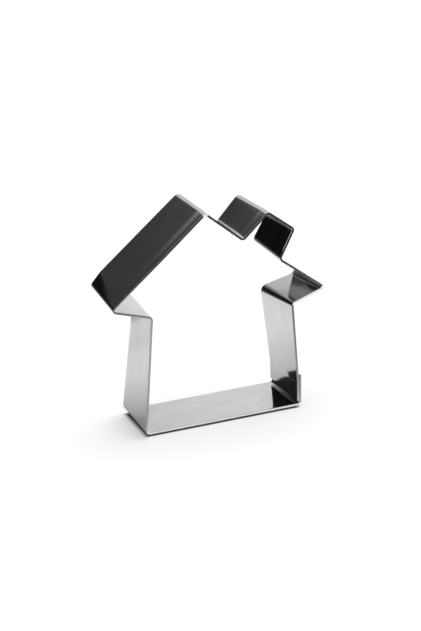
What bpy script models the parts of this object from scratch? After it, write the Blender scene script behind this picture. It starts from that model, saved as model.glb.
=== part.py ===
"""House-shaped cookie cutter: one steel strip folded round the outline, lapped and spot welded.

The cutter stands on its floor panel. X runs across the house, Y through the depth of the strip
from the front edge to the back edge, and Z up. The origin lies under the middle of the part.
"""

import math

import bmesh
import bpy
from mathutils import Matrix, Vector

MM = 0.001

# The strip
STRIP_DEPTH = 25.0 * MM
STEEL_THICKNESS = 0.7 * MM
BEND_RADIUS = 0.8 * MM

# Floor and walls, over the outside of the steel
FLOOR_WIDTH = 54.6 * MM
LEFT_WALL_HEIGHT = 39.0 * MM
LEFT_WALL_LEAN = 6.2 * MM
RIGHT_WALL_HEIGHT = 35.3 * MM
RIGHT_WALL_LEAN = 0.75 * MM

# Shoulder: the right wall's welded foot leans out up to here, and the rest leans in
SHOULDER_HEIGHT = 8.5 * MM
SHOULDER_REACH = 0.4 * MM

# Eaves: how far each reaches out from its wall, and how far it rises on the way
LEFT_EAVE_REACH = 14.1 * MM
LEFT_EAVE_RISE = 5.05 * MM
RIGHT_EAVE_REACH = 12.7 * MM
RIGHT_EAVE_RISE = 3.45 * MM

# Roof: the ridge, then the right slope down to the chimney
RIDGE_HEIGHT = 71.6 * MM
RIDGE_OFFSET = -1.4 * MM
UPPER_SLOPE_LENGTH = 16.7 * MM
UPPER_SLOPE_PITCH = math.radians(41.2)

# Crown: the left slope bends down a little before its eave. The flat from there to the start of
# the eave's bend, and the rise above a straight slope, at the front edge and at the back edge
CROWN_FRONT_FLAT = 0.46 * MM
CROWN_FRONT_RISE = 0.11 * MM
CROWN_BACK_FLAT = 4.13 * MM
CROWN_BACK_RISE = 0.82 * MM

# Chimney: its uphill side, its top and its downhill side
CHIMNEY_UPHILL_LENGTH = 11.75 * MM
CHIMNEY_UPHILL_ANGLE = math.radians(42.8)
CHIMNEY_TOP_LENGTH = 12.6 * MM
CHIMNEY_TOP_PITCH = math.radians(38.6)
CHIMNEY_DOWNHILL_LENGTH = 10.4 * MM
CHIMNEY_DOWNHILL_ANGLE = math.radians(57.9)

# Lap: the floor's end turns up outside the right wall, whose own end stops above the bend
LAP_HEIGHT = 10.5 * MM
LAP_GAP = 0.1 * MM
WALL_END_CLEARANCE = 0.1 * MM

# Spot welds in the lap
WELD_NAMES = ("weld_nugget_front", "weld_nugget_middle", "weld_nugget_back")
WELD_SPACING = 0.32 * STRIP_DEPTH
WELD_HEIGHT = 6.0 * MM
NUGGET_DIAMETER = 3.0 * MM
NUGGET_PENETRATION = 0.3 * MM
NUGGET_CLEARANCE = 0.05 * MM
MARK_DIAMETER = 3.4 * MM
MARK_DEPTH = 0.08 * MM

# The folds aren't quite square to the strip: the way each back end stands off its front end.
# The crown has no such way of its own, because it follows the left slope
FOLD_SKEWS = {
    "right_foot": (0.55 * MM, 0.0),
    "shoulder": (0.4 * MM, 0.0),
    "right_wall_top": (-1.05 * MM, -0.1 * MM),
    "right_eave": (0.1 * MM, -1.0 * MM),
    "chimney_downhill_foot": (0.7 * MM, 1.25 * MM),
    "chimney_downhill_top": (0.35 * MM, 0.0),
    "chimney_uphill_top": (-0.65 * MM, 1.2 * MM),
    "chimney_uphill_foot": (0.35 * MM, 0.8 * MM),
    "ridge": (-0.45 * MM, 1.95 * MM),
    "left_eave": (0.6 * MM, 2.5 * MM),
    "left_wall_top": (1.75 * MM, 0.6 * MM),
    "left_foot": (-0.25 * MM, 0.0),
}

# Folds whose inside radius differs from the usual one, at the front edge and at the back edge
FOLD_RADII = {
    "shoulder": (12.0 * MM, 12.0 * MM),
    "right_wall_top": (0.8 * MM, 2.0 * MM),
    "right_eave": (0.65 * MM, 0.65 * MM),
    "chimney_downhill_foot": (0.8 * MM, 1.3 * MM),
    "chimney_uphill_top": (0.8 * MM, 1.2 * MM),
    "ridge": (0.8 * MM, 1.3 * MM),
    "crown": (3.0 * MM, 8.0 * MM),
    "left_eave": (0.65 * MM, 0.65 * MM),
    "left_wall_top": (0.8 * MM, 1.4 * MM),
    "left_foot": (0.8 * MM, 2.0 * MM),
}

# Spare depth of the sheet at each edge, sheared off square
SHEAR_ALLOWANCE = 0.5 * MM

# Fineness of the mesh
BEND_STEPS = 6
PANEL_STEP = 5.0 * MM
DEPTH_STEPS = 6
NUGGET_SEGMENTS = 24
NUGGET_RINGS = 12


def polar(length, angle):
    """A step of this length in the XZ plane, at this angle above the X axis."""
    return Vector((length * math.cos(angle), length * math.sin(angle)))


def blend(front, back, depth_share):
    """A value at a share of the depth, 0 at the front edge and 1 at the back edge."""
    return front + (back - front) * depth_share


def crown_corner(ridge, eave, wall_top, depth_share):
    """Where the left slope bends at a share of the depth, from the corners round it there."""
    up_slope = (ridge - eave).normalized()
    above_slope = Vector((-up_slope.y, up_slope.x))
    turn = (eave - ridge).angle(wall_top - eave)
    eave_bend = (inside_radius("left_eave", depth_share) + STEEL_THICKNESS) * math.tan(turn / 2)
    distance = eave_bend + blend(CROWN_FRONT_FLAT, CROWN_BACK_FLAT, depth_share)
    rise = blend(CROWN_FRONT_RISE, CROWN_BACK_RISE, depth_share)
    return eave + up_slope * distance + above_slope * rise


def outline_corners():
    """The outline's sharp outside corners as (x, z), from the right foot round over the roof."""
    right_foot = Vector((FLOOR_WIDTH / 2, 0))
    left_foot = Vector((-FLOOR_WIDTH / 2, 0))
    right_wall_top = right_foot + Vector((-RIGHT_WALL_LEAN, RIGHT_WALL_HEIGHT))
    left_wall_top = left_foot + Vector((LEFT_WALL_LEAN, LEFT_WALL_HEIGHT))
    left_eave = left_wall_top + Vector((-LEFT_EAVE_REACH, LEFT_EAVE_RISE))
    ridge = Vector((RIDGE_OFFSET, RIDGE_HEIGHT))
    uphill_foot = ridge + polar(UPPER_SLOPE_LENGTH, -UPPER_SLOPE_PITCH)
    uphill_top = uphill_foot + polar(CHIMNEY_UPHILL_LENGTH, CHIMNEY_UPHILL_ANGLE)
    downhill_top = uphill_top + polar(CHIMNEY_TOP_LENGTH, -CHIMNEY_TOP_PITCH)
    downhill_foot = downhill_top - polar(CHIMNEY_DOWNHILL_LENGTH, CHIMNEY_DOWNHILL_ANGLE)
    return {
        "right_foot": right_foot,
        "shoulder": right_foot + Vector((SHOULDER_REACH, SHOULDER_HEIGHT)),
        "right_wall_top": right_wall_top,
        "right_eave": right_wall_top + Vector((RIGHT_EAVE_REACH, RIGHT_EAVE_RISE)),
        "chimney_downhill_foot": downhill_foot,
        "chimney_downhill_top": downhill_top,
        "chimney_uphill_top": uphill_top,
        "chimney_uphill_foot": uphill_foot,
        "ridge": ridge,
        "crown": crown_corner(ridge, left_eave, left_wall_top, 0.5),
        "left_eave": left_eave,
        "left_wall_top": left_wall_top,
        "left_foot": left_foot,
    }


def skewed_corners(depth_share):
    """The same corners at a share of the depth, 0 at the front edge and 1 at the back edge."""
    corners = outline_corners()
    for name, skew in FOLD_SKEWS.items():
        corners[name] = corners[name] + Vector(skew) * (depth_share - 0.5)
    slope = [corners[name] for name in ("ridge", "left_eave", "left_wall_top")]
    corners["crown"] = crown_corner(*slope, depth_share)
    return list(corners.values())


def outward(start, end):
    """The unit normal of a panel, on the right hand of its direction, which is outside."""
    along = (end - start).normalized()
    return Vector((along.y, -along.x))


def crossing(line, other):
    """Where two lines meet, each a point and a direction."""
    (point, along), (base, across) = line, other
    normal = Vector((-across.y, across.x))
    return point + along * ((base - point).dot(normal) / along.dot(normal))


def inside_radius(name, depth_share):
    """The inside radius of a fold at a share of the depth."""
    front, back = FOLD_RADII.get(name, (BEND_RADIUS, BEND_RADIUS))
    return blend(front, back, depth_share)


def panel_lines(depth_share):
    """The middle line of each panel's steel, as a point and a direction: right wall to lap."""
    corners = skewed_corners(depth_share)
    lines = []
    for start, end in zip(corners, corners[1:] + corners[:1]):
        middle = start - outward(start, end) * STEEL_THICKNESS / 2
        lines.append((middle, (end - start).normalized()))
    wall_middle, up_wall = lines[0]
    wall_outward = Vector((up_wall.y, -up_wall.x))
    lines.append((wall_middle + wall_outward * (STEEL_THICKNESS + LAP_GAP), up_wall))
    return lines


def at_height(line, height):
    """The point of a line at this height."""
    point, along = line
    return point + along * ((height - point.y) / along.y)


def strip_corners(depth_share):
    """The middle line's corners, from the right wall's free end round to the top of the lap."""
    lines = panel_lines(depth_share)
    bend_top = STEEL_THICKNESS + inside_radius("right_foot", depth_share)
    wall_end = bend_top + WALL_END_CLEARANCE
    corners = [at_height(lines[0], wall_end)]
    corners += [crossing(line, following) for line, following in zip(lines, lines[1:])]
    return corners + [at_height(lines[-1], LAP_HEIGHT)]


def bend_points(before, corner, after, radius):
    """An arc of this radius from one panel to the next, tangent to both."""
    arriving = (corner - before).normalized()
    leaving = (after - corner).normalized()
    turn = arriving.angle_signed(leaving)
    start = corner - arriving * radius * math.tan(abs(turn) / 2)
    to_centre = Vector((arriving.y, -arriving.x)) * math.copysign(radius, turn)
    centre = start + to_centre
    points = []
    for step in range(BEND_STEPS + 1):
        spoke = -to_centre
        spoke.rotate(Matrix.Rotation(-turn * step / BEND_STEPS, 2))
        points.append(centre + spoke)
    return points


def panel_counts():
    """How many stretches each panel is divided into, going by its length at mid-depth."""
    corners = strip_corners(0.5)
    lengths = [(end - start).length for start, end in zip(corners, corners[1:])]
    return [max(1, round(length / PANEL_STEP)) for length in lengths]


def strip_line(depth_share):
    """The middle line of the steel with its folds rounded, as (x, z) points."""
    corners = strip_corners(depth_share)
    names = list(outline_corners())
    arcs = [[corners[0]]]
    for name, before, corner, after in zip(names[1:] + names[:1], corners, corners[1:], corners[2:]):
        radius = inside_radius(name, depth_share) + STEEL_THICKNESS / 2
        arcs.append(bend_points(before, corner, after, radius))
    arcs.append([corners[-1]])
    points = list(arcs[0])
    for count, arc, following in zip(panel_counts(), arcs, arcs[1:]):
        for step in range(1, count):
            points.append(arc[-1].lerp(following[0], step / count))
        points += following
    return points


def strip_rows():
    """The sheet's middle surface, as rows of points from a little before the front edge back."""
    rows = []
    sheet_depth = STRIP_DEPTH + 2 * SHEAR_ALLOWANCE
    for step in range(DEPTH_STEPS + 1):
        y = (step / DEPTH_STEPS - 0.5) * sheet_depth
        line = strip_line(y / STRIP_DEPTH + 0.5)
        rows.append([Vector((point.x, y, point.y)) for point in line])
    return rows


def middle_x(rows):
    """The x half-way between the strip's furthest points to the left and right."""
    across = [point.x for row in rows for point in row if abs(point.y) <= STRIP_DEPTH / 2]
    return (min(across) + max(across)) / 2


def steel(name, colour, roughness):
    """A metal material of this colour and roughness."""
    material = bpy.data.materials.new(name)
    material.use_nodes = True
    shader = material.node_tree.nodes["Principled BSDF"]
    shader.inputs["Base Color"].default_value = (*colour, 1)
    shader.inputs["Metallic"].default_value = 1
    shader.inputs["Roughness"].default_value = roughness
    return material


def new_object(name, mesh, collection):
    """An object for the mesh, in the collection."""
    made = bpy.data.objects.new(name, mesh)
    collection.objects.link(made)
    return made


def add_band(collection, rows):
    """The bent strip: a lofted sheet through the rows, thickened to both sides."""
    sheet = bmesh.new()
    grid = [[sheet.verts.new(point) for point in row] for row in rows]
    for near, far in zip(grid, grid[1:]):
        for a, b, c, d in zip(near, near[1:], far[1:], far):
            sheet.faces.new((a, b, c, d))
    mesh = bpy.data.meshes.new("cutter_band")
    sheet.to_mesh(mesh)
    sheet.free()
    band = new_object("cutter_band", mesh, collection)
    thicken = band.modifiers.new("steel thickness", "SOLIDIFY")
    thicken.thickness = STEEL_THICKNESS
    thicken.offset = 0
    thicken.use_even_offset = True
    return band


def add_lens(name, collection, place, diameter, thickness):
    """A flattened ball of this diameter, lying flat to the lap at this place."""
    ball = bmesh.new()
    bmesh.ops.create_uvsphere(ball, u_segments=NUGGET_SEGMENTS, v_segments=NUGGET_RINGS, radius=0.5)
    bmesh.ops.scale(ball, vec=(diameter, diameter, thickness), verts=ball.verts)
    mesh = bpy.data.meshes.new(name)
    ball.to_mesh(mesh)
    ball.free()
    mesh.shade_smooth()
    lens = new_object(name, mesh, collection)
    lens.matrix_world = place
    return lens


def lap_place(depth, depth_share, layers):
    """Where a weld lies: on the lap's mid-plane, or so many steel layers further outwards."""
    lines = panel_lines(depth_share)
    wall, lap = at_height(lines[0], WELD_HEIGHT), at_height(lines[-1], WELD_HEIGHT)
    outwards = (lap - wall).normalized()
    middle = (wall + lap) / 2 + outwards * layers * (STEEL_THICKNESS + LAP_GAP / 2)
    turned = Vector((outwards.x, 0, outwards.y)).to_track_quat("Z", "Y").to_matrix().to_4x4()
    return Matrix.Translation((middle.x, depth, middle.y)) @ turned


def add_welds(collection, cutters):
    """The weld nuggets between the lap's two layers, with the cutters of their seats and marks."""
    nugget_thickness = 2 * NUGGET_PENETRATION + LAP_GAP
    welds = []
    for number, name in enumerate(WELD_NAMES):
        depth = (number - (len(WELD_NAMES) - 1) / 2) * WELD_SPACING
        share = depth / STRIP_DEPTH + 0.5
        place = lap_place(depth, share, 0)
        welds.append(add_lens(name, collection, place, NUGGET_DIAMETER, nugget_thickness))
        add_lens(
            name + "_seat", cutters, place,
            NUGGET_DIAMETER + 2 * NUGGET_CLEARANCE, nugget_thickness + 2 * NUGGET_CLEARANCE,
        )
        for side, layers in (("inner", -1), ("outer", 1)):
            place = lap_place(depth, share, layers)
            add_lens(f"{name}_{side}_mark", cutters, place, MARK_DIAMETER, 2 * MARK_DEPTH)
    return welds


def shear_edges(band, rows, collection):
    """Trims the thickened sheet to the strip's depth, so that both long edges are flat."""
    reach = 2 * max(point.length for row in rows for point in row)
    block = bmesh.new()
    bmesh.ops.create_cube(block, size=1)
    bmesh.ops.scale(block, vec=(2 * reach, STRIP_DEPTH, 2 * reach), verts=block.verts)
    mesh = bpy.data.meshes.new("strip_depth_block")
    block.to_mesh(mesh)
    block.free()
    shear = new_object("strip_depth_block", mesh, collection)
    hide_cutter(shear)
    trim = band.modifiers.new("sheared edges", "BOOLEAN")
    trim.operation = "INTERSECT"
    trim.object = shear


def hide_cutter(cutter):
    """Keeps a cutter out of the finished part."""
    cutter.hide_render = True
    cutter.display_type = "WIRE"


def cut_with(target, cutters):
    """Takes the cutters' shapes out of the target."""
    cut = target.modifiers.new("weld seats and marks", "BOOLEAN")
    cut.operation = "DIFFERENCE"
    cut.operand_type = "COLLECTION"
    cut.collection = cutters
    for cutter in cutters.objects:
        hide_cutter(cutter)


def shade_bends(mesh):
    """Smooth shading, with the sheet's edges left sharp."""
    mesh.shade_smooth()
    mesh.set_sharp_from_angle(angle=math.radians(40))


def main():
    for old in list(bpy.data.objects):
        bpy.data.objects.remove(old, do_unlink=True)
    house = bpy.data.collections.new("house_cookie_cutter")
    blocks = bpy.data.collections.new("blocks")
    cutters = bpy.data.collections.new("cutters")
    for collection in (house, blocks, cutters):
        bpy.context.scene.collection.children.link(collection)

    rows = strip_rows()
    band = add_band(house, rows)
    shear_edges(band, rows, blocks)
    welds = add_welds(house, cutters)
    to_middle = Matrix.Translation((-middle_x(rows), 0, 0))
    for made in (band, *welds, *cutters.objects):
        made.matrix_world = to_middle @ made.matrix_world
    cut_with(band, cutters)

    shade_bends(band.data)
    band.data.materials.append(steel("polished_steel", (0.74, 0.74, 0.72), 0.1))
    weld_steel = steel("weld_steel", (0.55, 0.54, 0.53), 0.35)
    for weld in welds:
        weld.data.materials.append(weld_steel)


main()
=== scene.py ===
# %% [markdown]
# # A house-shaped cookie cutter in bright steel
#
# The real cutter is one strip of bright steel, about 25 mm deep and 0.7 mm thick, folded into the
# outline of a house with a chimney: eleven folds, and two slight bends, one in the left roof near
# its eave and one in the right wall near its foot. The strip's two ends lap over each other at
# the foot of the right wall, and three spot welds hold them together.
#
# This lesson dresses the measured part: it folds a finer strip over the same outline, gives it
# the finish of polished steel, and lights it so that each panel mirrors what it mirrors in the
# photograph.

import math

import bmesh
import bpy
from mathutils import Matrix, Vector


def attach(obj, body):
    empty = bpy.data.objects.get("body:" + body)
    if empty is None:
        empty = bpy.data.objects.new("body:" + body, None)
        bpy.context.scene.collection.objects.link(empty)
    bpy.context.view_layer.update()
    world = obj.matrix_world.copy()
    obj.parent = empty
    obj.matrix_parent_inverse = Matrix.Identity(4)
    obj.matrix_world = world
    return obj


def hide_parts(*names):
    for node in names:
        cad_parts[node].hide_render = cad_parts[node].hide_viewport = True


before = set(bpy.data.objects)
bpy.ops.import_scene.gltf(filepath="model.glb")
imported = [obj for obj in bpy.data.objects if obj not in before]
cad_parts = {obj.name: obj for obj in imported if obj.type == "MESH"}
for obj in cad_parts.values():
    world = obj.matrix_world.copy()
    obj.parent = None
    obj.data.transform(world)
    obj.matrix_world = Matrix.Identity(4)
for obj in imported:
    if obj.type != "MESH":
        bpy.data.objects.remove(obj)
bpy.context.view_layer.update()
bpy.ops.object.select_all(action="DESELECT")
MM = 0.001

# %% [markdown]
# ## The folds
#
# A strip can be drawn as a flat ribbon and bent by a modifier, or it can be built panel by
# panel, each one extruded from the last. The second way is closer to how the cutter is made,
# and it keeps every fold at a place that can be read off the part, so it is used here.
#
# Each row gives, in millimetres, where a fold lies on the middle of the steel, seen from the
# front: across and up. Then comes how far its back end stands off its front end, across and up,
# because the folds aren't quite square to the strip, and the radius it is bent to at the front
# edge and at the back edge. The free rows are the strip's two ends and places in between that
# aren't bent.

# %% Where each fold lies
STRIP_DEPTH = 25.0 * MM
STEEL_THICKNESS = 0.7 * MM

FOLDS = {
    "lap_top": (26.374, 10.5, 0.364, 0, 0, 0),
    "lap_start": (26.03, 3.2, 0.493, 0, 0, 0),
    "lap_foot": (25.896, 0.35, 0.543, 0, 1.0, 1.9),
    "left_foot": (-28.761, 0.35, -0.23, 0, 1.15, 2.35),
    "left_wall_top": (-22.58, 39.232, 1.759, 0.568, 1.15, 1.75),
    "left_eave": (-36.432, 44.193, 0.499, 2.479, 1.0, 1.0),
    "crown": (-33.5, 47.11, 2.773, 5.22, 3.35, 8.35),
    "ridge": (-3.282, 71.144, -0.458, 1.949, 1.15, 1.65),
    "chimney_uphill_foot": (9.301, 60.129, 0.365, 0.778, 1.15, 1.15),
    "chimney_uphill_top": (17.933, 68.122, -0.636, 1.179, 1.15, 1.55),
    "chimney_downhill_top": (27.3, 60.644, 0.345, 0.014, 1.15, 1.15),
    "chimney_downhill_foot": (21.781, 51.845, 0.709, 1.284, 1.15, 1.65),
    "right_eave": (36.655, 38.916, 0.126, -0.932, 1.0, 1.0),
    "right_wall_top": (24.317, 35.564, -1.066, -0.079, 1.15, 2.35),
    "shoulder": (25.479, 8.501, 0.4, -0.013, 12.35, 12.35),
    "weld_zone": (25.411, 7.6, 0.415, 0, 0, 0),
    "wall_end": (25.163, 1.875, 0.541, 0.55, 0, 0),
}
FOLD_NAMES = list(FOLDS)
FREE_ROWS = ("lap_top", "lap_start", "weld_zone", "wall_end")


def fold_place(name, depth_share):
    """Where a fold crosses the strip at a share of its depth, 0 in front and 1 at the back."""
    x, z, skew_x, skew_z = FOLDS[name][:4]
    off_middle = depth_share - 0.5
    return Vector((x + skew_x * off_middle, STRIP_DEPTH / MM * off_middle, z + skew_z * off_middle)) * MM


print("folds and bends:", len(FOLDS) - len(FREE_ROWS), "free rows:", len(FREE_ROWS))

# %% Helpers for edit mode
KINDS = {"VERT": "verts", "EDGE": "edges", "FACE": "faces"}


def select_where(kind, test):
    """Selects only the vertices, edges or faces that pass the test, and counts them."""
    bpy.ops.mesh.select_mode(type=kind)
    bpy.ops.mesh.select_all(action="DESELECT")
    mesh = bpy.context.edit_object.data
    shape = bmesh.from_edit_mesh(mesh)
    chosen = [part for part in getattr(shape, KINDS[kind]) if test(part)]
    for part in chosen:
        part.select_set(True)
    shape.select_flush_mode()
    bmesh.update_edit_mesh(mesh)
    return len(chosen)


def near(point, place, reach=0.02 * MM):
    """True where two points lie this close together."""
    return (point - place).length < reach


# %% [markdown]
# ## Folding the strip
#
# The floor panel is a plane of its own size. From its right edge the lap is pulled up, and from
# its left edge the other panels follow one another over the roof and down the right wall. The
# strip is folded square first, and then each fold is turned to the skew it has on the part.

# %% Extrude panel after panel
left_foot, lap_foot = fold_place("left_foot", 0.5), fold_place("lap_foot", 0.5)
floor_middle = (left_foot + lap_foot) / 2
bpy.ops.mesh.primitive_plane_add(size=1, location=floor_middle)
band = bpy.context.object
band.name = "polished_band"
bpy.ops.object.transform_apply(location=True)
bpy.ops.object.mode_set(mode="EDIT")
floor_size = ((lap_foot - left_foot).length, STRIP_DEPTH, 1)
bpy.ops.transform.resize(value=floor_size, center_override=floor_middle)


def on_fold(vertex, name):
    """True where a vertex of the square strip lies on this fold."""
    return near(Vector((vertex.co.x, 0, vertex.co.z)), fold_place(name, 0.5))


def pull_panels(names):
    """Extrudes a panel from each fold in the list to the next."""
    select_where("EDGE", lambda edge: all(on_fold(vertex, names[0]) for vertex in edge.verts))
    for name, following in zip(names, names[1:]):
        step = fold_place(following, 0.5) - fold_place(name, 0.5)
        bpy.ops.mesh.extrude_region_move(TRANSFORM_OT_translate={"value": step})


pull_panels(["lap_foot", "lap_start", "lap_top"])
pull_panels(FOLD_NAMES[FOLD_NAMES.index("left_foot"):])
print("panels:", len(bmesh.from_edit_mesh(band.data).faces))

# %% Turn each fold a little, as it was bent
turned_ends = 0
for name in FOLD_NAMES:
    for depth_share in (0, 1):
        square_end = fold_place(name, 0.5) + Vector((0, (depth_share - 0.5) * STRIP_DEPTH, 0))
        turned_ends += select_where("VERT", lambda vertex: near(vertex.co, square_end))
        bpy.ops.transform.translate(value=fold_place(name, depth_share) - square_end)
print("ends of folds turned:", turned_ends)

# %% [markdown]
# ## A fine, even grid
#
# Polished steel shows every facet, so the panels are divided into small cells before the folds
# are rounded. The cells are finest at the lap, where the welding electrodes left their marks.

# %% Divide the panels
DEPTH_CUTS = 49
PANEL_CELL = 3.0 * MM
LAP_CELL = 0.5 * MM

select_where("EDGE", lambda edge: abs(edge.verts[0].co.y - edge.verts[1].co.y) > STRIP_DEPTH / 2)
bpy.ops.mesh.subdivide(number_cuts=DEPTH_CUTS)


def spans(edge, name, following):
    """True where an edge runs from one fold to the next along its panel."""
    first, second = edge.verts
    share = first.co.y / STRIP_DEPTH + 0.5
    ends = fold_place(name, share), fold_place(following, share)
    return any(near(a.co, ends[0]) and near(b.co, ends[1]) for a, b in ((first, second), (second, first)))


for name, following in zip(FOLD_NAMES, FOLD_NAMES[1:]):
    length = (fold_place(following, 0.5) - fold_place(name, 0.5)).length
    at_lap = {name, following} & {"lap_top", "weld_zone"} and "shoulder" not in (name, following)
    cuts = round(length / (LAP_CELL if at_lap else PANEL_CELL)) - 1
    if cuts > 0:
        select_where("EDGE", lambda edge: spans(edge, name, following))
        bpy.ops.mesh.subdivide(number_cuts=cuts)
print("cells:", len(bmesh.from_edit_mesh(band.data).faces))

# %% [markdown]
# ## Rounding the folds
#
# Most folds bend on a radius of about one thickness and a half, but some are tighter in front
# than at the back, where the strip slipped a little on the bending block. A bevel of the fold's
# edges gives the arc. Its width is how far the bend reaches into the panels, so each edge gets a
# weight for it, from the radius and from how sharply the strip turns there.

# %% Weigh each fold by how far its bend reaches
def turn_at(name, depth_share):
    """How sharply the strip turns at a fold, in radians."""
    place = FOLD_NAMES.index(name)
    before, here, after = (fold_place(FOLD_NAMES[place + step], depth_share) for step in (-1, 0, 1))
    return (here - before).angle(after - here)


def bend_reach(name, depth_share):
    """How far a fold's bend reaches into the panels on either side."""
    front, back = FOLDS[name][4:]
    radius = (front + (back - front) * depth_share) * MM
    return radius * math.tan(turn_at(name, depth_share) / 2)


def lies_on(place, name):
    """True where a point of the turned strip lies on this fold."""
    return near(place, fold_place(name, place.y / STRIP_DEPTH + 0.5))


bends = [name for name in FOLD_NAMES if name not in FREE_ROWS]
widest = max(bend_reach(name, share) for name in bends for share in (0, 1))
shape = bmesh.from_edit_mesh(band.data)
weights = shape.edges.layers.float.new("bevel_weight_edge")
for name in bends:
    fold_edges = [edge for edge in shape.edges if all(lies_on(vertex.co, name) for vertex in edge.verts)]
    for edge in fold_edges:
        share = (edge.verts[0].co.y + edge.verts[1].co.y) / 2 / STRIP_DEPTH + 0.5
        edge[weights] = bend_reach(name, share) / widest
    print(name, "turns", round(math.degrees(turn_at(name, 0.5))), "degrees,", len(fold_edges), "edges")
bmesh.update_edit_mesh(band.data)

# %% [markdown]
# ## A curled front edge
#
# On the roof and the chimney, the front edge of the real strip curls a little towards the inside,
# which shows as a soft light band along it. The strip could be bent there by a lattice, but the
# grid is fine enough to move its points inwards, more and more towards the edge. It is done while
# the folds are still sharp, because the bevel then rounds them evenly, curl and all.

# %% Curl the front edge inwards
CURL_START = 5.8 * MM
CURL_END = 1.6 * MM
CURL_DEPTH = 0.18 * MM
CURL_FOOT = 47.0 * MM
CURL_FULL = 60.0 * MM
LEAST_COSINE = 0.4
STEEPEST_OF_EASING = 1.5


def smooth_share(value, start, end):
    """A share that eases from 0 at the start to 1 at the end."""
    share = min(max((value - start) / (end - start), 0), 1)
    return share * share * (3 - 2 * share)


bpy.ops.mesh.select_all(action="SELECT")
bpy.ops.mesh.normals_make_consistent(inside=False)
shape = bmesh.from_edit_mesh(band.data)
floor_face = min(shape.faces, key=lambda face: (face.calc_center_median() - floor_middle).length)
outwards = -1 if floor_face.normal.z > 0 else 1
for vertex in shape.verts:
    from_edge = vertex.co.y + STRIP_DEPTH / 2
    rise = smooth_share(from_edge, CURL_START, CURL_END) * smooth_share(vertex.co.z, CURL_FOOT, CURL_FULL)
    cosine = max(vertex.normal.dot(vertex.link_faces[0].normal), LEAST_COSINE)
    vertex.co -= vertex.normal * outwards * CURL_DEPTH * rise / cosine
bmesh.update_edit_mesh(band.data)
bpy.ops.object.mode_set(mode="OBJECT")
steepest = STEEPEST_OF_EASING * CURL_DEPTH / (CURL_START - CURL_END)
print("steepest curl, degrees:", round(math.degrees(steepest), 1))

# %% Bevel the folds
FOLD_SEGMENTS = 14


def finish_with(kind, **settings):
    """Adds a modifier with these settings to the active object, and applies it."""
    bpy.ops.object.modifier_add(type=kind)
    modifier = bpy.context.object.modifiers[-1]
    for name, value in settings.items():
        setattr(modifier, name, value)
    bpy.ops.object.modifier_apply(modifier=modifier.name)


finish_with("BEVEL", limit_method="WEIGHT", width=widest, segments=FOLD_SEGMENTS, use_clamp_overlap=False)
band.data.attributes.remove(band.data.attributes["bevel_weight_edge"])
bpy.ops.object.mode_set(mode="EDIT")
bpy.ops.mesh.select_all(action="SELECT")
bpy.ops.mesh.normals_make_consistent(inside=False)
bpy.ops.object.mode_set(mode="OBJECT")
print("faces with rounded folds:", len(band.data.polygons))

# %% [markdown]
# ## Thickness, and the small faults of real sheet
#
# Real strip isn't dead flat: its panels wander by hundredths of a millimetre, which shows as
# wobbles in the reflections. A cloud texture displaces the sheet that little, and then Solidify
# gives it the steel's thickness. Last, both long edges are made flat again, as a shear cuts them.

# %% Let the panels wander a little
WAVE_LENGTH = 11 * MM
WAVE_HEIGHT = 0.035 * MM

clouds = bpy.data.textures.new("panel_waves", "CLOUDS")
clouds.noise_scale = WAVE_LENGTH
clouds.noise_depth = 1
finish_with("DISPLACE", texture=clouds, texture_coords="LOCAL", strength=WAVE_HEIGHT)
print("waves, mm:", round(WAVE_HEIGHT / MM, 3), "over", round(WAVE_LENGTH / MM))

# %% Thicken the sheet
finish_with("SOLIDIFY", thickness=STEEL_THICKNESS, offset=0, use_even_offset=True)
print("faces of the sheet:", len(band.data.polygons))

# %% Shear both long edges flat
EDGE_REACH = 0.1 * MM

bpy.ops.object.mode_set(mode="EDIT")
for side in (-1, 1):
    edge_plane = side * STRIP_DEPTH / 2
    count = select_where("VERT", lambda vertex: abs(vertex.co.y - edge_plane) < EDGE_REACH)
    bpy.ops.transform.resize(value=(1, 0, 1), center_override=(0, edge_plane, 0))
    print("points on this edge:", count)
bpy.ops.object.mode_set(mode="OBJECT")

# %% [markdown]
# ## Edges
#
# A sheared edge is never knife sharp. A narrow bevel on every edge that turns more than sixty
# degrees takes off the corner, and catches the thin line of light that such an edge shows.

# %% Take off the sharp corners
EASING_WIDTH = 0.03 * MM
EASING_ANGLE = math.radians(60)

finish_with("BEVEL", width=EASING_WIDTH, segments=3, limit_method="ANGLE", angle_limit=EASING_ANGLE)
print("faces with eased edges:", len(band.data.polygons))

# %% [markdown]
# ## Spot weld marks
#
# Two electrodes pressed the lap together at each weld, and left a shallow round dimple on either
# face. Each is a disc of vertices pushed in with proportional editing, so that its rim is soft.

# %% Press in the electrode marks
WELD_DEPTHS = (-8.0 * MM, 0.0, 8.0 * MM)
WELD_HEIGHT = 6.0 * MM
HALF_LAP_GAP = 0.05 * MM
MARK_RADIUS = 1.2 * MM
MARK_RIM = 0.8 * MM
MARK_DEPTH = 0.02 * MM
FACING = 0.8
SMOOTH_ANGLE = math.radians(35)


def lap_middle(depth):
    """The point between the lap's two layers at the welds' height, and the way out of the lap."""
    share = depth / STRIP_DEPTH + 0.5
    points = []
    for top, foot in (("lap_top", "lap_start"), ("weld_zone", "wall_end")):
        high, low = fold_place(top, share), fold_place(foot, share)
        points.append(low.lerp(high, (WELD_HEIGHT - low.z) / (high.z - low.z)))
    return (points[0] + points[1]) / 2, (points[0] - points[1]).normalized()


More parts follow.
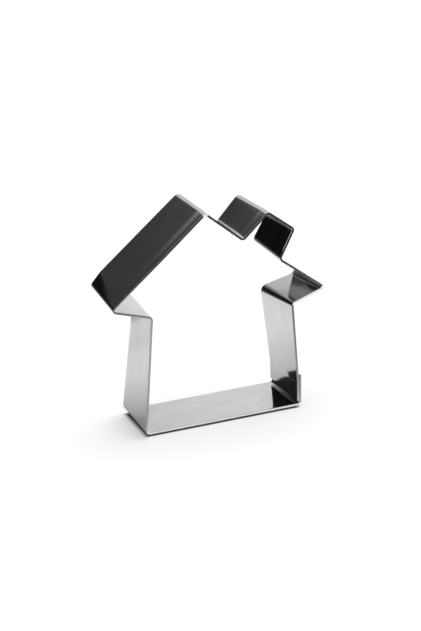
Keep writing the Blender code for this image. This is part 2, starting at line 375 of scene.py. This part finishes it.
bpy.ops.object.mode_set(mode="EDIT")
for depth in WELD_DEPTHS:
    middle, out_of_lap = lap_middle(depth)
    for side in (-1, 1):
        face = out_of_lap * side
        centre = middle + face * (STEEL_THICKNESS + HALF_LAP_GAP)
        count = select_where(
            "VERT",
            lambda vertex: (vertex.co - centre).length < MARK_RADIUS and vertex.normal.dot(face) > FACING,
        )
        bpy.ops.transform.translate(
            value=-face * MARK_DEPTH, use_proportional_edit=True, use_proportional_connected=True,
            proportional_edit_falloff="SMOOTH", proportional_size=MARK_RADIUS + MARK_RIM,
        )
        print("mark of", count, "points")
bpy.ops.object.mode_set(mode="OBJECT")
bpy.ops.object.shade_smooth_by_angle(angle=SMOOTH_ANGLE)

# %% [markdown]
# ## Polished steel
#
# The strip came from the mill with a bright finish, close to a mirror, with fine rolling lines
# that run along it. An image could carry those lines, but all panels run along the strip in the
# plane of the outline, so a noise that changes quickly through the depth and slowly across gives
# them on every panel at once.

# %% Material helpers
NOISE_LOW, NOISE_HIGH = 0.3, 0.7


def new_material(name):
    """A node material, its tree and its Principled shader."""
    material = bpy.data.materials.new(name)
    material.use_nodes = True
    tree = material.node_tree
    return material, tree, tree.nodes["Principled BSDF"]


def noise(tree, scale, detail, stretch=(1, 1, 1)):
    """A noise on Object coordinates. Its scale is in cycles per millimetre."""
    place = tree.nodes.new("ShaderNodeTexCoord")
    turn = tree.nodes.new("ShaderNodeMapping")
    turn.inputs["Scale"].default_value = stretch
    texture = tree.nodes.new("ShaderNodeTexNoise")
    texture.inputs["Scale"].default_value = scale / MM
    texture.inputs["Detail"].default_value = detail
    tree.links.new(place.outputs["Object"], turn.inputs["Vector"])
    tree.links.new(turn.outputs["Vector"], texture.inputs["Vector"])
    return texture.outputs["Fac"]


def ramp(tree, value, stops):
    """A colour ramp over a value, from (place, grey or colour) stops."""
    node = tree.nodes.new("ShaderNodeValToRGB")
    elements = node.color_ramp.elements
    while len(elements) < len(stops):
        elements.new(0.5)
    for element, (place, colour) in zip(elements, stops):
        element.position = place
        element.color = (colour, colour, colour, 1) if isinstance(colour, float) else (*colour, 1)
    tree.links.new(value, node.inputs["Fac"])
    return node.outputs["Color"]


def spread(tree, value, low, high, start=0.0, end=1.0):
    """A value mapped from one range to another."""
    node = tree.nodes.new("ShaderNodeMapRange")
    node.inputs["From Min"].default_value = low
    node.inputs["From Max"].default_value = high
    node.inputs["To Min"].default_value = start
    node.inputs["To Max"].default_value = end
    tree.links.new(value, node.inputs["Value"])
    return node.outputs["Result"]


def tint(tree, shader, pattern, low, high):
    """Lets a noise carry the shader's colour from one tint to another."""
    colour = ramp(tree, pattern, [(NOISE_LOW, low), (NOISE_HIGH, high)])
    tree.links.new(colour, shader.inputs["Base Color"])


def roughen(tree, shader, pattern, low, high):
    """Lets a noise carry the shader's roughness from one value to another."""
    tree.links.new(spread(tree, pattern, NOISE_LOW, NOISE_HIGH, low, high), shader.inputs["Roughness"])


# %% Bright strip
bright, tree, shader = new_material("polished_steel")
shader.inputs["Metallic"].default_value = 1
clouding = noise(tree, 0.12, 2, (1, 1, 0.5))
tint(tree, shader, clouding, (0.56, 0.565, 0.545), (0.62, 0.625, 0.61))
rolling_lines = noise(tree, 1.0, 3, (0.04, 1.6, 0.04))
roughen(tree, shader, rolling_lines, 0.05, 0.11)
band.data.materials.clear()
band.data.materials.append(bright)
print("finish of the panels:", bright.name)

# %% [markdown]
# ## Sheared edges
#
# The two long edges were cut by a slitting wheel, which leaves them matt beside the polished
# faces. In front, the edges of the floor, the right soffit and the ridge catch bright light and
# look nearly white, so they get a painted highlight: a pale, matt colour.

# %% Matt finish, and the painted highlight
matt, tree, shader = new_material("sheared_edge")
shader.inputs["Metallic"].default_value = 1
tearing = noise(tree, 3.0, 2)
tint(tree, shader, tearing, (0.55, 0.55, 0.54), (0.63, 0.63, 0.62))
roughen(tree, shader, tearing, 0.14, 0.22)

# Painted highlight: a pale, matt, non-metal colour that stands in for the bright light these front edges
# catch.
painted_highlight, tree, shader = new_material("painted_highlight_edge")
shader.inputs["Roughness"].default_value = 0.5
highlight_mottle = noise(tree, 1.5, 2)
tint(tree, shader, highlight_mottle, (0.9, 0.9, 0.89), (0.97, 0.97, 0.96))
for material in (matt, painted_highlight):
    band.data.materials.append(material)
print("finishes of the band:", len(band.data.materials))

# %% Give the edges the matt finish and the painted highlight
MATT_SLOT, HIGHLIGHT_SLOT = 1, 2
# The front edges of these panels, and the front edge near the ridge, get the painted highlight.
HIGHLIGHT_PANELS = (("left_foot", "lap_foot"), ("right_eave", "right_wall_top"))
RIDGE_HIGHLIGHT = 1.6 * MM
EDGE_FLATNESS = 0.9
EDGE_TOLERANCE = 0.05 * MM


def on_long_edge(face):
    """True where a face lies in the plane of the strip's front or back edge."""
    off_edge = abs(abs(face.center.y) - STRIP_DEPTH / 2)
    return abs(face.normal.y) >= EDGE_FLATNESS and off_edge <= EDGE_TOLERANCE


def beside_panel(place, name, following):
    """True where a point of the front edge lies on this panel."""
    start, end = fold_place(name, 0), fold_place(following, 0)
    along = (end - start).normalized()
    run = (place - start).dot(along)
    return 0 < run < (end - start).length and near(place, start + along * run, STEEL_THICKNESS)


def has_painted_highlight(place):
    """True where a point lies on a stretch of the front edge that gets the painted highlight."""
    on_panel = any(beside_panel(place, *panel) for panel in HIGHLIGHT_PANELS)
    return place.y < 0 and (on_panel or near(place, fold_place("ridge", 0), RIDGE_HIGHLIGHT))


counts = {MATT_SLOT: 0, HIGHLIGHT_SLOT: 0}
for face in band.data.polygons:
    if on_long_edge(face):
        face.material_index = HIGHLIGHT_SLOT if has_painted_highlight(face.center) else MATT_SLOT
        counts[face.material_index] += 1
print("matt and wiped edge faces:", counts[MATT_SLOT], counts[HIGHLIGHT_SLOT])
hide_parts("cutter_band")
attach(band, "root")

# %% [markdown]
# ## Weld nuggets
#
# Each weld is a lens of steel that melted and froze between the two layers. The measured part
# already has it in the right shape, so it stays, with a duller and slightly burnt finish.

# %% Dull weld metal
dull, tree, shader = new_material("weld_steel")
shader.inputs["Metallic"].default_value = 1
grain = noise(tree, 2.0, 2)
tint(tree, shader, grain, (0.4, 0.38, 0.36), (0.52, 0.51, 0.5))
roughen(tree, shader, grain, 0.3, 0.45)
nuggets = [node for name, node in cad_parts.items() if name.startswith("weld_nugget")]
for nugget in nuggets:
    nugget.data.materials.clear()
    nugget.data.materials.append(dull)
print("weld nuggets:", len(nuggets))

# %% [markdown]
# ## What the steel mirrors
#
# A mirror has no look of its own, so what stands round it matters more than its colour. In the
# photograph a white table lies round the cutter, and the room beyond is dark on the left and has
# a large bright window on the right. Here a white floor is the table, and a ring of screen, which
# only reflections see, is the room. A picture of a real room could do the same, but it couldn't
# be set against the photograph panel by panel. So both are given as greys along a direction, in
# millimetres or degrees, and blended into one another.
#
# Only what the camera sees mirrored gets these greys. The light that the steel throws on the
# floor comes from plain white surroundings, or the floor would be patchy.

# %% Helpers for greys
def arithmetic(tree, operation, first, second):
    """One step of arithmetic on two values, each a socket or a number."""
    node = tree.nodes.new("ShaderNodeMath")
    node.operation = operation
    for socket, value in zip(node.inputs, (first, second)):
        if isinstance(value, bpy.types.NodeSocket):
            tree.links.new(value, socket)
        else:
            socket.default_value = value
    return node.outputs[0]


def multiplied(tree, first, *others):
    """The product of two or more values, the first of which is a socket."""
    for other in others:
        first = arithmetic(tree, "MULTIPLY", first, other)
    return first


def mixed(tree, share, first, second):
    """A colour between two colours, each a socket or a grey."""
    node = tree.nodes.new("ShaderNodeMix")
    node.data_type = "RGBA"
    tree.links.new(share, node.inputs["Factor"])
    for name, value in (("A", first), ("B", second)):
        if isinstance(value, bpy.types.NodeSocket):
            tree.links.new(value, node.inputs[name])
        else:
            node.inputs[name].default_value = (value, value, value, 1)
    return node.outputs["Result"]


def graded(tree, value, stops):
    """A grey that follows (value, grey) stops, given in the value's own unit."""
    low, high = stops[0][0], stops[-1][0]
    share = spread(tree, value, low, high)
    return ramp(tree, share, [((place - low) / (high - low), float(grey)) for place, grey in stops])


def object_axes(tree):
    """The sockets of the X, Y and Z of Object coordinates, in millimetres."""
    place = tree.nodes.new("ShaderNodeTexCoord")
    scaled = tree.nodes.new("ShaderNodeVectorMath")
    scaled.operation = "SCALE"
    scaled.inputs["Scale"].default_value = 1 / MM
    axes = tree.nodes.new("ShaderNodeSeparateXYZ")
    tree.links.new(place.outputs["Object"], scaled.inputs[0])
    tree.links.new(scaled.outputs["Vector"], axes.inputs[0])
    return axes.outputs["X"], axes.outputs["Y"], axes.outputs["Z"]


# %% Helpers for the kinds of ray
def light_path(tree, names):
    """1 for rays of these kinds, otherwise 0."""
    path = tree.nodes.new("ShaderNodeLightPath")
    total = path.outputs[names[0]]
    for name in names[1:]:
        total = arithmetic(tree, "MAXIMUM", total, path.outputs[name])
    return total


def seen_in_steel(tree):
    """1 for what the camera sees mirrored, and 0 for light that the steel throws on the floor."""
    path = tree.nodes.new("ShaderNodeLightPath")
    scattered = arithmetic(tree, "MINIMUM", path.outputs["Diffuse Depth"], 1)
    unscattered = arithmetic(tree, "SUBTRACT", 1, scattered)
    return multiplied(tree, path.outputs["Is Glossy Ray"], unscattered)


# %% [markdown]
# ## The table
#
# The floor could touch the cutter, but then the two surfaces would flicker where they meet, so it
# lies half a millimetre lower. The steel shows that the table gets greyer in front, where the
# camera stands, and more so on the right, and greyer under and just behind the cutter, where its
# own shadow falls, and that it ends behind on the left. It also shows a dark strip just behind the
# cutter, whose right end slopes. These greys and the strip are painted shade, seen only in
# reflections.

# %% White floor
FLOOR_SIZE = 6
FLOOR_GAP = 0.5 * MM

bpy.ops.mesh.primitive_plane_add(size=FLOOR_SIZE, location=(0, 0, -FLOOR_GAP))
floor = bpy.context.object
floor.name = "white_floor"
paper, tree, paper_shader = new_material("white_table")
across, along, _ = object_axes(tree)
floor.data.materials.append(paper)
print("floor below the cutter, mm:", FLOOR_GAP / MM)

# %% Painted shade of the table in front and beside the cutter
# Greys seen only in reflections: painted shade in front, where the camera stands, and the cutter's own
# painted shadow under and just behind it.
left_front = graded(tree, along, [
    (-200, 0.1), (-152, 0.62), (-145, 0.7), (-120, 0.62), (-95, 0.53), (-30, 0.56), (-20, 0.8), (-12, 0.8),
    (0, 0.5), (10, 0.52), (20, 0.62), (30, 0.72), (45, 0.84), (62, 0.97), (300, 0.97),
])
right_front = graded(tree, along, [
    (-200, 0.06), (-135, 0.16), (-60, 0.33), (-40, 0.45), (-20, 0.5), (-12, 0.8), (0, 0.5), (10, 0.52),
    (20, 0.62), (30, 0.72), (45, 0.84), (62, 0.97), (300, 0.97),
])
on_right = graded(tree, across, [(-200, 0.0), (22, 0.0), (44, 1.0), (200, 1.0)])
left_side = graded(tree, across, [(-200, 0.9), (-30, 0.9), (-10, 1.0), (200, 1.0)])
table = multiplied(tree, mixed(tree, on_right, left_front, right_front), left_side)
print("nodes for the near table:", len(tree.nodes))

# %% The far end of the table
SLANT = 0.39

far_left = graded(tree, along, [
    (0, 1.0), (95, 1.0), (120, 0.9), (156, 0.97), (166, 0.64), (176, 0.45), (300, 0.42),
])
far_middle = graded(tree, along, [(0, 1.0), (138, 1.0), (150, 0.2), (165, 0.34), (180, 0.42), (300, 0.44)])
slanted = arithmetic(tree, "ADD", across, multiplied(tree, along, SLANT))
far_corner = graded(tree, slanted, [
    (-100, 1.0), (26, 1.0), (29, 0.65), (30.5, 0.3), (31.5, 0.06), (200, 0.06),
])
beyond = graded(tree, along, [(0, 0.0), (138, 0.0), (150, 1.0), (300, 1.0)])
far_middle = multiplied(tree, far_middle, mixed(tree, beyond, 1.0, far_corner))
far_right = graded(tree, across, [(-200, 0.0), (-15, 0.0), (0, 1.0), (200, 1.0)])
left_of_far = graded(tree, across, [(-200, 0.0), (-52, 0.0), (-43, 1.0), (200, 1.0)])
far = mixed(tree, far_right, mixed(tree, left_of_far, far_left, far_middle), 1.0)
print("nodes with the far end:", len(tree.nodes))

# %% The painted shade strip behind the cutter
SHADE_BEHIND_SLOPE = 0.8
SHADE_BEHIND_GREY = 0.04

# Painted shade, seen only in reflections: a dark strip on the table just behind the cutter.
behind = graded(tree, along, [(-100, 0.0), (12.4, 0.0), (12.6, 1.0), (20.6, 1.0), (21.8, 0.0), (100, 0.0)])
right_of_left_foot = graded(tree, across, [(-100, 0.0), (-25, 0.0), (-24, 1.0), (100, 1.0)])
sloping = arithmetic(tree, "ADD", multiplied(tree, across, SHADE_BEHIND_SLOPE), along)
before_slope = graded(tree, sloping, [(-200, 1.0), (33.2, 1.0), (34.6, 0.0), (200, 0.0)])
in_shade_behind = multiplied(tree, behind, right_of_left_foot, before_slope)
painted_shade_behind = mixed(tree, in_shade_behind, 1.0, SHADE_BEHIND_GREY)
levels = mixed(tree, seen_in_steel(tree), 1.0, multiplied(tree, table, far, painted_shade_behind))
print("nodes with the dark strip:", len(tree.nodes))

# %% [markdown]
# ## Contact with the table
#
# Where the strip nearly touches the table, little light reaches it, and the photograph shows a
# thin dark line there and a soft shade beside the left foot. Because the floor lies a little
# lower here, light gets under the strip, so the floor itself is darkened in those places. That
# goes for every ray, so the line shows from all sides.

# %% Darken the floor where the strip nearly touches it
in_footprint = graded(tree, along, [
    (-100, 0.0), (-12.7, 0.0), (-12.5, 1.0), (11, 1.0), (12.6, 0.0), (100, 0.0),
])
under_strip = graded(tree, across, [
    (-100, 1.0), (-29.3, 1.0), (-28.7, 0.35), (-28.1, 0.06), (24.5, 0.06), (25.5, 1.0), (100, 1.0),
])
beside_foot = graded(tree, along, [(-100, 0.0), (-17, 0.0), (-12, 1.0), (6, 1.0), (13, 0.0), (100, 0.0)])
foot_shade = graded(tree, across, [
    (-100, 1.0), (-42, 1.0), (-36, 0.95), (-31.5, 0.85), (-29, 0.72), (-28.5, 1.0), (100, 1.0),
])
line_share = mixed(tree, in_footprint, 1.0, under_strip)
shade_share = mixed(tree, beside_foot, 1.0, foot_shade)
shown = multiplied(tree, levels, multiplied(tree, line_share, shade_share))
print("nodes with the contact line:", len(tree.nodes))

# %% Finish the floor
FLOOR_GREY = 0.6
FLOOR_LIFT = 0.4

tree.links.new(multiplied(tree, shown, FLOOR_GREY), paper_shader.inputs["Base Color"])
lift = multiplied(tree, light_path(tree, ("Is Camera Ray", "Is Glossy Ray")), FLOOR_LIFT)
tree.links.new(multiplied(tree, shown, lift), paper_shader.inputs["Emission Strength"])
paper_shader.inputs["Emission Color"].default_value = (1, 1, 1, 1)
paper_shader.inputs["Roughness"].default_value = 1
paper_shader.inputs["Specular IOR Level"].default_value = 0
print("floor grey and lift:", FLOOR_GREY, FLOOR_LIFT)

# %% [markdown]
# ## The room
#
# The room is a ring of screen round the cutter. Its wall is nearly black, with a paler foot and a
# paler ceiling. The window takes up its right side, as seen from the cutter towards the back. It
# dims towards the top of the panes, and its left edge is sharp low down and soft higher up.

# %% Room screen
SCREEN_RADIUS = 190 * MM
SCREEN_CENTRE = Vector((0, 40 * MM, 0))
SCREEN_HEIGHT = 280 * MM

bpy.ops.mesh.primitive_cylinder_add(
    vertices=96, radius=SCREEN_RADIUS, depth=SCREEN_HEIGHT, end_fill_type="NOTHING",
    location=SCREEN_CENTRE + Vector((0, 0, SCREEN_HEIGHT / 2)),
)
screen = bpy.context.object
screen.name = "room_screen"
bpy.ops.object.transform_apply(location=True)
bpy.ops.object.shade_smooth()
for kind in ("camera", "diffuse", "transmission", "volume_scatter", "shadow"):
    setattr(screen, "visible_" + kind, False)
print("room across and up, mm:", round(2 * SCREEN_RADIUS / MM), round(SCREEN_HEIGHT / MM))

# %% The dark wall
room, tree, shader = new_material("dark_room")
tree.nodes.remove(shader)
across, along, upwards = object_axes(tree)
from_centre = arithmetic(tree, "SUBTRACT", along, SCREEN_CENTRE.y / MM)
angle = multiplied(tree, arithmetic(tree, "ARCTAN2", across, from_centre), 180 / math.pi)
back_wall = graded(tree, upwards, [
    (0, 0.36), (9, 0.36), (14.5, 0.4), (16.5, 0.05), (30, 0.04), (52, 0.024), (80, 0.022), (90, 0.006),
    (98, 0.004), (115, 0.004), (122, 0.045), (160, 0.055), (175, 0.065), (190, 0.08), (205, 0.14),
    (225, 0.3), (280, 0.6),
])
front_wall = graded(tree, upwards, [
    (0, 0.2), (5, 0.08), (13, 0.05), (27, 0.035), (160, 0.05), (175, 0.065), (190, 0.08), (205, 0.14),
    (225, 0.3), (280, 0.6),
])
to_either_side = arithmetic(tree, "ABSOLUTE", angle, 0)
towards_front = graded(tree, to_either_side, [(0, 0.0), (90, 0.0), (120, 1.0), (180, 1.0)])
wall = mixed(tree, towards_front, back_wall, front_wall)
print("nodes for the wall:", len(tree.nodes))

# %% The bright window
window = graded(tree, upwards, [
    (0, 1.0), (60, 0.98), (100, 0.92), (112, 0.85), (122, 0.72), (135, 0.68), (146, 0.5), (156, 0.75),
    (175, 0.9), (280, 0.9),
])
low_edge = graded(tree, angle, [(-3, 0.0), (0, 0.35), (5, 0.76), (11, 0.88), (21, 1.0)])
middle_edge = graded(tree, angle, [
    (-15, 0.0), (-10, 0.13), (-6, 0.22), (0, 0.38), (5, 0.55), (12, 0.72), (21, 1.0),
])
high_edge = graded(tree, angle, [(-14, 0.0), (-11, 0.15), (-4, 0.45), (4, 0.8), (12, 1.0)])
above_sill = graded(tree, upwards, [(0, 0.0), (112, 0.0), (119, 1.0), (280, 1.0)])
near_ceiling = graded(tree, upwards, [(0, 0.0), (158, 0.0), (180, 1.0), (280, 1.0)])
left_edge = mixed(tree, near_ceiling, mixed(tree, above_sill, low_edge, middle_edge), high_edge)
right_edge = graded(tree, angle, [(0, 1.0), (29, 1.0), (35, 0.86), (46, 0.82), (60, 0.0)])
lit = multiplied(tree, left_edge, right_edge)
glow = tree.nodes.new("ShaderNodeEmission")
surroundings = mixed(tree, seen_in_steel(tree), 1.0, mixed(tree, lit, wall, window))
tree.links.new(surroundings, glow.inputs["Color"])
tree.links.new(glow.outputs[0], tree.nodes["Material Output"].inputs["Surface"])
screen.data.materials.append(room)
print("nodes for the room:", len(tree.nodes))

# %% [markdown]
# ## Light
#
# A white sky lights everything evenly, and one very soft lamp from behind on the right, as far
# away as the sun so that it lights the floor evenly, lays the faint shadow to the left of the
# cutter. A low lamp of the same kind fills in from the front, so that the rim facing the camera
# is about as pale as its colour says. Reflections don't see the lamps.

# %% Sky and lamps
SKY_SHARE = 0.66
LAMP_SOFTNESS = math.radians(50)
LAMPS = {"soft_lamp": ((0.25, 0.25, 1.1), 1.4), "front_fill": ((-0.3, -1.0, 0.22), 0.55)}

world = bpy.data.worlds.new("soft_sky")
bpy.context.scene.world = world
world.use_nodes = True
tree = world.node_tree
background = tree.nodes["Background"]
background.inputs["Color"].default_value = (1, 1, 1, 1)
seen = light_path(tree, ("Is Camera Ray", "Is Glossy Ray", "Is Transmission Ray"))
tree.links.new(spread(tree, seen, 0, 1, SKY_SHARE, 1), background.inputs["Strength"])

for name, (place, energy) in LAMPS.items():
    bpy.ops.object.light_add(type="SUN", location=place)
    lamp = bpy.context.object
    lamp.name = name
    lamp.rotation_euler = (-lamp.location).to_track_quat("-Z", "Y").to_euler()
    lamp.data.angle = LAMP_SOFTNESS
    lamp.data.energy = energy
    lamp.visible_glossy = False
print("lamps:", len(LAMPS))

# %% [markdown]
# ## Camera
#
# The camera's place and lens were worked out from the corners of the cutter in the photograph.
# Its axes are built from how far it stands to the left and above, and how far it is rolled.

# %% Camera at the photograph's angle
AZIMUTH, ELEVATION, ROLL = math.radians(-18.809), math.radians(17.02), math.radians(-4.223)
CAMERA_PLACE = Vector((-157.48, -463.64, 182.4)) * MM
FOCAL_PIXELS = 1546.1
PICTURE_HEIGHT = 631

back = Vector((
    math.sin(AZIMUTH) * math.cos(ELEVATION), -math.cos(AZIMUTH) * math.cos(ELEVATION), math.sin(ELEVATION)
))
level = Vector((math.cos(AZIMUTH), math.sin(AZIMUTH), 0))
upright = back.cross(level)
right = level * math.cos(ROLL) + upright * math.sin(ROLL)
up = back.cross(right)
turned = Matrix((right, up, back)).transposed().to_euler()
bpy.ops.object.camera_add(location=CAMERA_PLACE, rotation=turned)
camera = bpy.context.object
camera.name = "photo_camera"
camera.data.lens = FOCAL_PIXELS * camera.data.sensor_width / PICTURE_HEIGHT
bpy.context.scene.camera = camera
bpy.context.scene.view_settings.view_transform = "Standard"
print("lens, mm:", round(camera.data.lens, 1))
